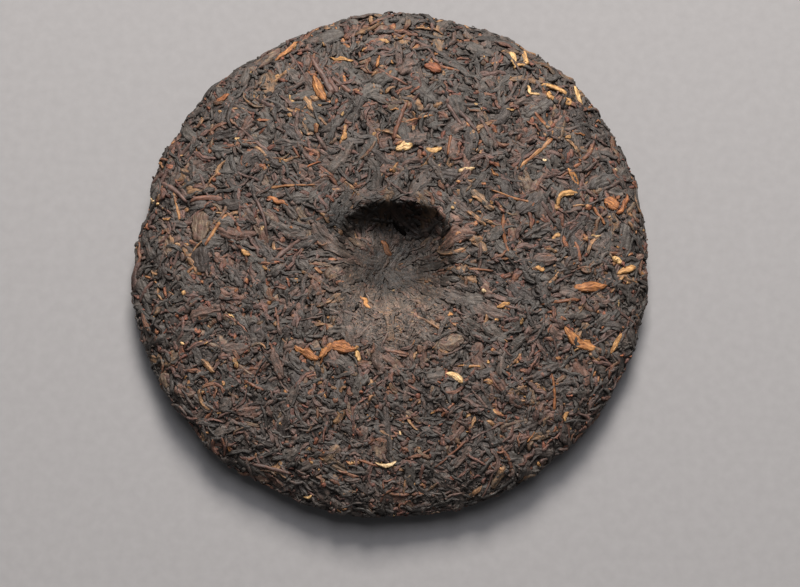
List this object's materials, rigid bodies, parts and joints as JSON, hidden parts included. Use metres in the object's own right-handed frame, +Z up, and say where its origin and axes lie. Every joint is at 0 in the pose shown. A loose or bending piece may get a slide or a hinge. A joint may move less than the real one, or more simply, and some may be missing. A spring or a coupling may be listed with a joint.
{
  "type": "pu erh tea cake",
  "caption": "Round cake of pressed dark tea leaves with a central dimple in its back, lying dimple side up.",
  "frame": {"origin": "on the table, under the middle of the outline", "axes": "+Z up through the shown, dimpled face; +Y towards the picture's top edge; +X towards its right"},
  "size_m": [0.1992, 0.1998, 0.0254],
  "materials": {
    "pressed_tea": "rough, with a faint sheen on pressed leaf faces"
  },
  "bodies": {
    "root": {"tea_cake": "pressed_tea"}
  },
  "joints": []
}
